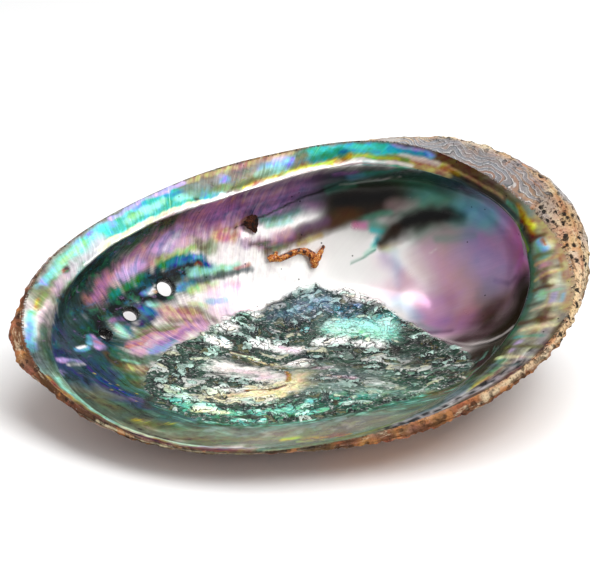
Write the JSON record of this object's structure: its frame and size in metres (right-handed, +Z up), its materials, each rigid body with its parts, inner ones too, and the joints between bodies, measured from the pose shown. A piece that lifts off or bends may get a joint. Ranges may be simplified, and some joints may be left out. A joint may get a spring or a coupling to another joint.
{
  "type": "abalone shell",
  "caption": "Large abalone shell lying on its crusty back, its iridescent bowl open upwards, with respiratory pores through one side; an ornament or dish.",
  "frame": {"origin": "under the middle of the shell, on the surface that it lies on", "axes": "+X along the shell towards the spire, +Z up; the opening is tipped towards -Y"},
  "size_m": [0.171, 0.1221, 0.0632],
  "materials": {
    "shell": "glossy mother of pearl inside in green, blue, violet and pink, matt tan and rust lime crust outside",
    "dried_tissue": "dark brown dried scrap, glossy on top"
  },
  "bodies": {
    "root": {"shell": "shell", "dried_scrap_long": "dried_tissue", "dried_scrap_chip": "dried_tissue"}
  },
  "joints": []
}
